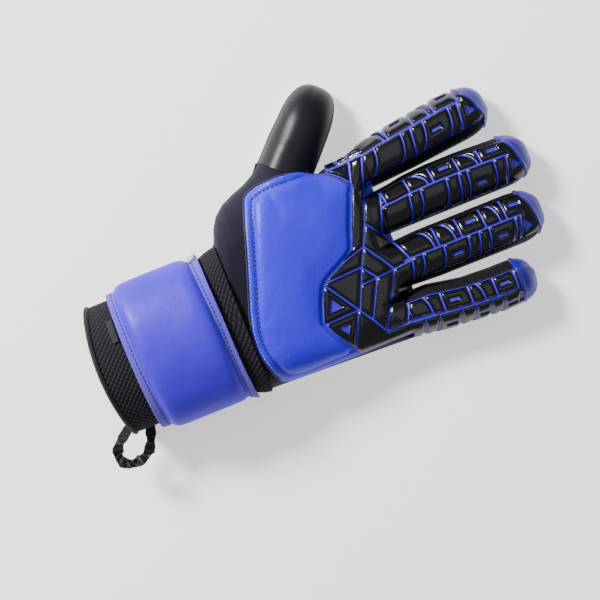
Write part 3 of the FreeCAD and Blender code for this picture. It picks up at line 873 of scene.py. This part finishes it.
def stallCap(digit, spec):
    # blue leather folded over the fingertip, with a bead along its rear edge
    surface = archSurface(digit, spec)

    def place(u, v):
        turn = v * 180
        line = along([(0, spec["cap"][0][1] + 0.5), *spec["cap"], (180, spec["cap"][-1][1])], turn)
        span = spec["reach"] - line
        a = line + span * np.sin(u * math.pi / 2) ** 0.95
        low, high = spec["panel"]
        over = smooth(low - cap["margin"], low + 4, turn) * smooth(high + cap["margin"], high - 4, turn)
        lift = cap["lift"] + cap["overPanel"] * over + cap["bead"] * ridge(a - line - 1.2, cap["beadWidth"])
        lift = lift - cap["tuck"] * ridge(a - line, 0.4) + cap["unevenness"] * ripple(a, turn * 0.25, 7, 3)
        return closePole(lifted(surface, a, turn, lift), u), clothMap(a, turn * 0.3)

    sew(digit + "Cap", 44, 110, place, cap["thickness"], capLeather, (digit + "_cap",),
        body=digit + "_tip", merge=True)


for digit, spec in fingers.items():
    stallSkin(digit, spec)
    stallPalm(digit, spec)
    stallBack(digit, spec)
    stallCap(digit, spec)
    print(digit, "finger made")


# the thumb: the same arch, under one smooth skin

thumbSkin = {"turns": (20, 160), "lift": 0.9, "unevenness": 0.22, "groove": 0.7, "grooveInset": 1.4,
             "perTurn": 0.36, "thickness": 0.8}


def thumbBack(spec):
    surface = archSurface("thumb", spec)
    low, high = thumbSkin["turns"]
    for part, start, end, reach in stretches("thumb", spec):

        def place(u, v):
            a = stations(u, start, end, spec)
            turn = mix(low, high, v)
            b = (turn - 90) * thumbSkin["perTurn"]
            hem = np.minimum(v, 1 - v) * (high - low) * thumbSkin["perTurn"]
            lift = thumbSkin["lift"] + thumbSkin["unevenness"] * ripple(a, b, 15, 5)
            lift = lift - thumbSkin["groove"] * ridge(hem - thumbSkin["grooveInset"], 0.5)
            points = lifted(surface, a, turn, lift)
            return points if end else closePole(points, u), clothMap(a, b)

        piece = sew("thumb" + part.title() + "Back", int(reach / 0.6), 100, place, thumbSkin["thickness"],
                    thumbLeather, ("thumb_" + part + "_back",), merge=True)
        bend(piece, "thumb", part)


stallSkin("thumb", thumb)
stallPalm("thumb", thumb)
thumbBack(thumb)
print("thumb made")


# the hand: mesh cloth all over the back, on the flat palm foam

bodyEdge = moundEdge[:9] + [(-0.6, 67.5), (23.2, 44.5)] + webEdge[2:5]
body = {"wall": 0.06, "foot": 3.6, "webFoot": 3.9, "bulge": 0.9, "slack": 0.45, "thickness": 0.8,
        "palmRear": -50.0, "palm": 4.0, "palmRound": 1.1, "heel": 9.0, "flare": 0.7}


def handPlace(u, share, rear):
    # x and y for a share of the width, between the two edges and the finger roots
    y = mix(-60.0, 54.0, share)
    for _ in range(3):
        x = mix(rear, frontLine(y), u)
        y = mix(along(littleEdge, x), along(bodyEdge, x), share)
    return x, y


def meshPlace(u, v):
    edge = body["wall"]
    spread = np.cos(np.clip((v - edge) / (1 - 2 * edge), 0, 1) * math.pi)
    share = 0.5 - 0.5 * spread * (0.75 + 0.25 * np.abs(spread))
    x, y = handPlace(u, share, hand["rear"])
    z = handHeight(x, y)
    front = frontLine(y)
    web = smooth(front - 3, front, x) * smooth(hand["web"] + 2.5, hand["web"] + 0.5, z)
    z = mix(z, body["webFoot"], web)
    wall = np.clip((edge - np.minimum(v, 1 - v)) / edge, 0, 1)
    z = mix(z, body["foot"], wall)
    side = np.where(v < 0.5, -1.0, 1.0)
    y = y + side * body["bulge"] * np.sin(math.pi * wall)
    slack = (share > 0.02) * (share < 0.98) * smooth(-41, -30, x) * (1 - web)
    z = z + body["slack"] * ripple(x * 0.6, y, 16, 8) * slack
    drop = hand["crown"] + (hand["front"] - x) * hand["rise"] - z
    return np.stack([x, y, z], axis=1), clothMap(x, y + side * drop)


sew("meshBody", 150, 190, meshPlace, body["thickness"], meshCloth, ("mesh_body",), 55, "hand")


def palmPlace(u, v):
    x, y = handPlace(u, v, body["palmRear"])
    side = 2 * v - 1
    x = x + (1 - u) * body["heel"] * np.abs(side) ** 7
    thumbRoot = smooth(-1, 3, x) * smooth(30, 24, x) * (side > 0)
    y = y + body["flare"] * power(side, 9) * (1 - thumbRoot)
    return np.stack([x, y, np.full(x.shape, body["palm"])], axis=1), clothMap(x, y)


palmSheet = clothGrid("palmSheet", 110, 110, palmPlace)
thicken(palmSheet, body["palm"])
applyModifier(palmSheet, "BEVEL", width=body["palmRound"] * mm, segments=3, limit_method="ANGLE",
              angle_limit=math.radians(60), use_clamp_overlap=True)
dress(palmSheet, palmLatex, ("palm_foam",), 50)
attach(palmSheet, "hand")
print("hand made")


# the back pad: a stitched flange, a soft pad on it, and the pressed knuckle panel in front

pad = {"low": -58.0, "high": 54.5, "flange": 0.85, "flangeSheet": 0.8, "hem": 5.4, "lowHem": 3.5,
       "rise": 2.9, "round": 9.0, "corner": 6.0, "innerRise": 1.4, "unevenness": 0.18,
       "pressure": 11, "swell": 1.4, "skin": 0.9}
padLeft = [(-58, -20), (-57.5, -25), (-57, -30), (-56, -33), (-50, -36), (-40, -39), (-32, -40),
           (-23, -39), (-12, -36), (2, -31), (14, -27), (29, -22), (44, -17), (50, -14.5), (52, -12.5),
           (53.4, -9), (54.5, -1)]
padRight = [(-58, 14), (-55, 13), (-48, 8), (-40, 3), (-33, 0), (-22, 4), (-12, 9), (-9.8, 12),
            (-5, 22), (0, 31), (11, 35), (23, 40), (35, 45), (39, 42), (43, 38), (47, 32), (50.5, 26),
            (53, 20), (54.5, 11)]
padRows = np.linspace(pad["low"], pad["high"], 70)
leftPath = [(float(along(padLeft, y)), float(y)) for y in padRows]
rightPath = [(float(along(padRight, y)), float(y)) for y in padRows]
# the flange's own hem, which leaves out the side that the knuckle panel covers
rim = [leftPath[0], rightPath[0]], leftPath, [leftPath[-1], rightPath[-1]], rightPath[55:]


def flangePlace(u, v):
    y = mix(pad["low"], pad["high"], v)
    x = mix(along(padLeft, y), along(padRight, y), u)
    hem = np.min([distanceTo(path, x, y) for path in rim], axis=0)
    lift = pad["flange"] + 0.3 * ridge(hem - 2.4, 1.2)
    # the seam and the edge itself are pulled down
    lift = lift - 0.35 * ridge(hem - 4.4, 0.5) - 0.5 * ridge(hem, 0.5)
    return lifted(handSurface, x, y, lift), clothMap(x, y)


sew("backFlange", 130, 200, flangePlace, pad["flangeSheet"], padLeather, ("pad_flange",),
    body="hand")


foamLow, foamHigh = pad["low"] + pad["lowHem"], pad["high"] - pad["hem"]


def padEdges(y):
    corner = cornerCut(pad["corner"], np.minimum(y - foamLow, foamHigh - y))
    left = along(padLeft, y) + pad["hem"] + 0.4 + corner
    # by the thumb the foam keeps clear of the flange's slanting side
    tapered = along(padRight, y - 5) + np.where(y > 36, 4, 90)
    right = np.minimum(along(padRight, y), tapered) - 0.7 - corner * 0.7
    return left, np.maximum(right, left + 4)


insideRows = np.linspace(foamLow, foamHigh, 60)
insideLeft = [(float(padEdges(y)[0]), float(y)) for y in insideRows]
insideRight = [(float(padEdges(y)[1]), float(y)) for y in insideRows]
insideRim = [insideLeft, [insideLeft[0], insideRight[0]], [insideLeft[-1], insideRight[-1]]]


def backPadPlace(u, v):
    y = mix(foamLow, foamHigh, v)
    left, right = padEdges(y)
    x = mix(left, right, u)
    outer = np.min([distanceTo(path, x, y) for path in insideRim], axis=0)
    inner = distanceTo(insideRight, x, y)
    seam = np.minimum(outer, inner)
    lift = np.minimum(pad["rise"] * shoulder(outer / pad["round"], 2.0),
                      1.5 * shoulder(inner / 2.2, 2.0) + pad["innerRise"] * smooth(1, 14, inner))
    lift = pad["flange"] + 0.25 + lift + pad["unevenness"] * ripple(x, y, 30, 2) * smooth(2, 12, seam)
    return lifted(handSurface, x, y, lift), clothMap(x, y, seam=seam)


backPad = clothGrid("backPad", 36, 56, backPadPlace)
swell(backPad, pad["pressure"], pad["swell"])
thicken(backPad, pad["skin"])
dress(backPad, padLeather, ("back_pad",), 60)
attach(backPad, "hand")


panel = {"low": -57.6, "high": 51.6, "cornerFrom": 46, "corner": 34.5, "lift": 0.85, "border": 1.3,
         "sideBorder": 0.8, "thickness": 0.8}


def panelPlace(u, v):
    y = mix(panel["low"], panel["high"], v)
    corner = panel["corner"] + (y - panel["cornerFrom"]) * 0.2
    left = np.where(y > panel["cornerFrom"], corner, along(padRight, y)) + 0.2
    x = mix(left, frontLine(y), u)
    sides = np.minimum(panel["high"] - y, y - panel["low"]) - panel["sideBorder"]
    rib = np.min([handPattern(x, y), x - left - panel["border"], sides], axis=0)
    return lifted(handSurface, x, y, panel["lift"] + roundRib(rib)), clothMap(x, y, rib=rib)


sew("knucklePanel", 120, 240, panelPlace, panel["thickness"], embossed, ("knuckle_panel",), 65,
    "hand")
print("back pad and knuckle panel made")


def overHand(path, lift):
    x, y = (np.array(values, float) for values in zip(*path))
    return lifted(handSurface, x, y, np.full(x.shape, lift))


def insetPath(path, by):
    # the same line moved to its right by a distance
    points = np.array(path)
    ahead = np.gradient(points, axis=0)
    ahead /= np.linalg.norm(ahead, axis=1, keepdims=True)
    return points + by * np.stack([ahead[:, 1], -ahead[:, 0]], axis=1)


edgePath = leftPath[2:-2] + [(-6, 54.2), (2, 54.5), (11, 54.4)] + rightPath[-3:56:-1]
piping = threadCord("padPiping", overHand(insetPath(edgePath, -0.2), 0.75), 0.42, darkThread)
padSeam = stitchRow("padStitches", overHand(insetPath(edgePath, 4.4), 0.85), darkThread)
paleSeam = stitchRow("padPaleStitches", overHand(insetPath(edgePath, 1.2), 1.0), paleThread,
                     2.2, 1.5, 0.2)
for thread in (piping, padSeam, paleSeam):
    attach(thread, "hand")


# the wrist: a waffle-knit cuff, an elastic band and the padded strap, each one a ring outside the last

wrist = {"centreY": -13.0, "centreZ": 25.6, "halfWidth": 38.0, "halfHeight": 23.0,
         "rear": -128.0, "coveredFrom": -105.0, "coveredTo": -54.0, "handEnd": -40.8, "waffle": 1.6,
         "relief": 0.65, "bow": 4.2, "fineGrid": 0.42, "coarseGrid": 1.6, "cuffSheet": 1.2,
         "liningRear": -126.5, "liningFront": -44.0, "liningSheet": 0.6, "bindingAt": -127.0, "binding": 2.0}


def sleeve(lift):
    def surface(x, turn):
        angle = np.radians(turn)
        t = smooth(-62, -41, x)
        wide = mix(wrist["halfWidth"], 44.4, t) + lift
        tall = mix(wrist["halfHeight"], 20.6, t) + lift
        share = 2 / mix(2.0, 2.5, t)
        y = mix(wrist["centreY"], -13.75, t) - wide * power(np.cos(angle), share)
        z = mix(wrist["centreZ"], 24.6, t) + tall * power(np.sin(angle), share)
        return np.stack([x, y, z], axis=1)
    return surface


sleeveTurns = evenTurns(sleeve(0), -80, 0, 360, 400)


def rearBow(turn):
    # the cuff's edge is drawn back at its middle
    return wrist["bow"] * np.cos(np.radians(turn)) ** 2


def cuffRing(name, start, end, pitch, relief, nodes=()):
    girth = sleeveTurns[1][-1]

    def place(u, v):
        turn = turnAt(sleeveTurns, v * girth)
        x = mix(start + rearBow(turn) * (start == wrist["rear"]), end, u)
        s = v * round(girth / wrist["waffle"]) * math.pi
        row = x / wrist["waffle"] * math.pi
        cells = np.abs(np.sin((s + row) / 2)) * np.abs(np.sin((s - row) / 2))
        lift = relief * np.clip(cells * 1.3, 0, 1)
        lift = lift + 0.4 * ripple(x * 2, s, 60, 4) * np.sin(v * math.pi) * (relief > 0)
        return lifted(sleeve(0), x, turn, lift), clothMap(x, v * girth, rise=cells)

    sew(name, int((end - start) / pitch), int(girth / pitch), place, wrist["cuffSheet"],
        waffleCloth if relief else cuffCloth, nodes, 70, "hand", merge=True)


cuffRing("cuffRear", wrist["rear"], wrist["coveredFrom"], wrist["fineGrid"], wrist["relief"], ("cuff",))
cuffRing("cuffMiddle", wrist["coveredFrom"], wrist["coveredTo"], wrist["coarseGrid"], 0.0)
cuffRing("cuffFront", wrist["coveredTo"], wrist["handEnd"], wrist["fineGrid"], wrist["relief"])


def liningPlace(u, v):
    x = mix(wrist["liningRear"] + rearBow(v * 360), wrist["liningFront"], u)
    slack = 0.3 * ripple(x, v * 200, 20, 6) * np.sin(v * math.pi)
    return lifted(sleeve(-2.0), x, v * 360, slack), clothMap(x, v * 200)


sew("cuffLining", 60, 120, liningPlace, wrist["liningSheet"], liningCloth, body="hand",
    merge=True)


def bindingPlace(u, v):
    roll = np.radians(-u * 360)
    uneven = 0.15 * ripple(v * 190, u * 10, 5, 9) * np.sin(v * math.pi) * np.sin(u * math.pi)
    radius = wrist["binding"] + uneven
    level = np.full(u.shape, wrist["bindingAt"])
    base = sleeve(-0.4)(level, v * 360)
    outer = sleeve(0.6)(level, v * 360)
    points = base + (outer - base) * (radius * np.sin(roll))[:, None]
    points[:, 0] = level + radius * 0.85 * np.cos(roll) + rearBow(v * 360)
    return points, clothMap(v * 190, u * 12)


cuffBinding = clothGrid("cuffBinding", 24, 240, bindingPlace, merge=True)
weld(cuffBinding, 0.002, fill=True)
dress(cuffBinding, bindingCloth, ("cuff_binding",))
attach(cuffBinding, "hand")


def ringPart(name, lift, thickness, rear, front, turns, material, slotName, nodes, rider="hand", pitch=1.2,
             extra=None):
    # a flat length of tape or cloth laid round the wrist
    surface = sleeve(lift)
    table = evenTurns(surface, -80, *turns)
    girth = table[1][-1]

    def place(u, v):
        turn = turnAt(table, v * girth)
        x = mix(along(rear, turn), along(front, turn), u)
        return lifted(surface, x, turn, extra(u, v) if extra else 0 * u), clothMap(x, v * girth)

    piece = clothGrid(name, max(int((front[0][1] - rear[0][1]) / pitch), 4), int(girth / pitch), place)
    thicken(piece, thickness)
    applyModifier(piece, "BEVEL", width=min(0.35, thickness * 0.3) * mm, segments=2, limit_method="ANGLE",
                  angle_limit=math.radians(60))
    dress(piece, material, nodes, 60)
    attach(piece, rider)


tape = {"rear": [(0, -100.5)], "front": [(0, -61.0)], "turns": (98, 170)}
ringPart("wristBand", 2.0, 1.6, [(0, -106.5)], [(0, -55.0)], (-178, 4), bandCloth, "elastic", ("wrist_band",))
ringPart("loopTape", 1.0, 0.9, *tape.values(), loopPile, "loop_tape", ("loop_tape",))
ringPart("hookTape", 2.1, 0.8, *tape.values(), hookPile, "hook_tape", ("hook_tape",), "strap")
ringPart("sizeTab", 1.35, 1.0, [(0, -113.8)], [(0, -109.8)], (110, 133), tabCloth, "tab_weave", ("size_tab",),
         pitch=0.6, extra=lambda u, v: 0.25 * np.sin(u * math.pi))

strap = {"turns": (-3, 183), "base": 3.8, "baseThickness": 1.5, "rise": 4.4, "round": 8.0, "corner": 5.0,
         "padTurns": (3, 177), "unevenness": 0.3, "pressure": 45, "swell": 1.6, "skin": 0.9,
         "rear": [(0, -107.0), (90, -108.6), (180, -109.5)],
         "front": [(0, -49.2), (90, -50.5), (180, -53.0)],
         "padRear": [(0, -101.2), (90, -103.6), (180, -105.0)],
         "padFront": [(0, -54.2), (90, -55.2), (180, -59.0)]}


def strapFrill(u, v):
    # the two flanges wave a little; the strap is about 56 mm by 110 mm
    return 0.25 * ripple(u * 56, v * 110, 9, 12) * smooth(6, 0, np.minimum(u, 1 - u) * 56)


ringPart("strapBase", strap["base"], strap["baseThickness"], strap["rear"], strap["front"], strap["turns"],
         napCloth, "strap_nap", ("strap_base",), "strap", 0.9, strapFrill)
ringPart("strapFoamEnd", 5.2, 1.4, [(0, -58.6)], [(0, -53.6)], (160, 178), rawFoam, "strap_nap", (),
         "strap", 0.6)

strapTable = evenTurns(sleeve(strap["base"]), -80, *strap["padTurns"])
strapGirth = strapTable[1][-1]


def strapPadPlace(u, v):
    s = v * strapGirth
    turn = turnAt(strapTable, s)
    gap = np.minimum(s, strapGirth - s)
    corner = cornerCut(strap["corner"], gap)
    rear = along(strap["padRear"], turn) + corner
    front = along(strap["padFront"], turn) - corner
    x = mix(rear, front, u)
    inner = np.minimum(x - rear, front - x)
    seam = np.minimum(inner, gap)
    soft = seam - 1.2 * np.exp(-np.abs(inner - gap) / 4)
    lift = strap["rise"] * shoulder(np.clip(soft, 0, None) / strap["round"], 2.2)
    lift = 0.15 + lift + strap["unevenness"] * ripple(x, s, 34, 15) * smooth(2, 12, seam)
    return lifted(sleeve(strap["base"]), x, turn, lift), clothMap(x, s, seam=seam)


strapPad = clothGrid("strapPad", 26, 60, strapPadPlace)
swell(strapPad, strap["pressure"], strap["swell"])
thicken(strapPad, strap["skin"])
dress(strapPad, strapLeather, ("strap_pad",), 60)
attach(strapPad, "strap")

for name, edge, shift in (("strapRearStitches", "padRear", -1.7), ("strapFrontStitches", "padFront", 1.5)):
    turns = np.linspace(6, 174, 120)
    row = lifted(sleeve(strap["base"]), along(strap[edge], turns) + shift, turns, np.full(120, 0.12))
    piece = stitchRow(name, row, darkThread)
    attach(piece, "strap")
print("wrist made")


# the pull loop: a crumpled ribbon, sewn into the cuff's edge at both ends

loop = {"width": 5.8, "thickness": 0.9, "level": 22.9, "stations": 400,
        "path": [(-113.5, -48.5), (-115.5, -57), (-119, -64), (-126, -68.2), (-134, -67.6), (-138.6, -62.5),
                 (-137.2, -56.5), (-131.5, -51.5), (-126.0, -47.5)]}


def curveThrough(points, count):
    curve = bpy.data.curves.new("route", "CURVE")
    curve.dimensions = "3D"
    spline = curve.splines.new("NURBS")
    spline.points.add(len(points) - 1)
    for spot, point in zip(spline.points, points):
        spot.co = (*point, 0, 1)
    spline.order_u = 4
    spline.use_endpoint_u = True
    spline.resolution_u = 24
    holder = bpy.data.objects.new("route", curve)
    mesh = bpy.data.meshes.new_from_object(holder)
    line = np.array([v.co[:2] for v in mesh.vertices])
    bpy.data.objects.remove(holder)
    reach = np.concatenate([[0], np.cumsum(np.linalg.norm(np.diff(line, axis=0), axis=1))])
    even = np.linspace(0, reach[-1], count)
    return np.stack([np.interp(even, reach, line[:, k]) for k in (0, 1)], axis=1), reach[-1]


loopLine, loopLength = curveThrough(loop["path"], loop["stations"])
loopAhead = np.gradient(loopLine, axis=0)
loopAhead /= np.linalg.norm(loopAhead, axis=1, keepdims=True)


def loopPlace(u, v):
    stations = np.linspace(0, 1, loop["stations"])
    px, py = (np.interp(u, stations, loopLine[:, k]) for k in (0, 1))
    ax, ay = (np.interp(u, stations, loopAhead[:, k]) for k in (0, 1))
    free = smooth(0.05, 0.2, u) * smooth(0.95, 0.8, u)
    across = (v - 0.5) * loop["width"] * (1 - 0.18 * np.sin(u * 40) * free)
    lean = 0.45 * np.sin(u * 23 + 1) * free
    crumple = 0.55 * np.sin(u * 61 + v * 2.5) * free + 0.5 * np.sin(u * 97 - v * 4) * free
    points = np.stack([px + ay * across * np.cos(lean), py - ax * across * np.cos(lean),
                       loop["level"] + across * np.sin(lean) + crumple], axis=1)
    return points, clothMap(u * loopLength, v * loop["width"])


sew("pullLoop", 220, 12, loopPlace, loop["thickness"], ribbonCloth, ("pull_loop",), 55,
    "pull_loop")
print("pull loop made")


# floor and light

bpy.ops.mesh.primitive_plane_add(size=6, location=(0, 0, -0.0006))
floor = bpy.context.object
floor.name = "floor"
addFloor = newMaterial("matteFloorPaint")
floorNoise = addFloor("TexNoise", {"Vector": objectPlace(addFloor), "Scale": 3.0})
floorTone = addFloor("Mix", {"Factor": floorNoise.outputs[0], 6: linear("#f1f1f2"), 7: linear("#f6f6f7")},
                     data_type="RGBA").outputs[2]
floorPaint = finishMaterial(addFloor, floorTone, None, Roughness=0.9, Emission_Color=(1, 1, 1, 1),
                            Emission_Strength=0.7)
floor.data.materials.append(floorPaint)

world = bpy.data.worlds.new("studio")
world.use_nodes = True
sky = world.node_tree.nodes["Background"].inputs
sky["Color"].default_value = (0.93, 0.95, 1.0, 1)
sky["Strength"].default_value = 0.34
bpy.context.scene.world = world

lamps = {"key": ((-0.85, 1.3, 1.15), 0.42, 92.0), "fill": ((0.3, 0.1, 1.9), 1.4, 4.5)}
for name, (spot, size, energy) in lamps.items():
    bpy.ops.object.light_add(type="AREA", location=spot)
    lamp = bpy.context.object
    lamp.name = name
    lamp.data.size = size
    lamp.data.energy = energy
    lamp.rotation_euler = (-Vector(spot)).to_track_quat("-Z", "Y").to_euler()
print("stage set")
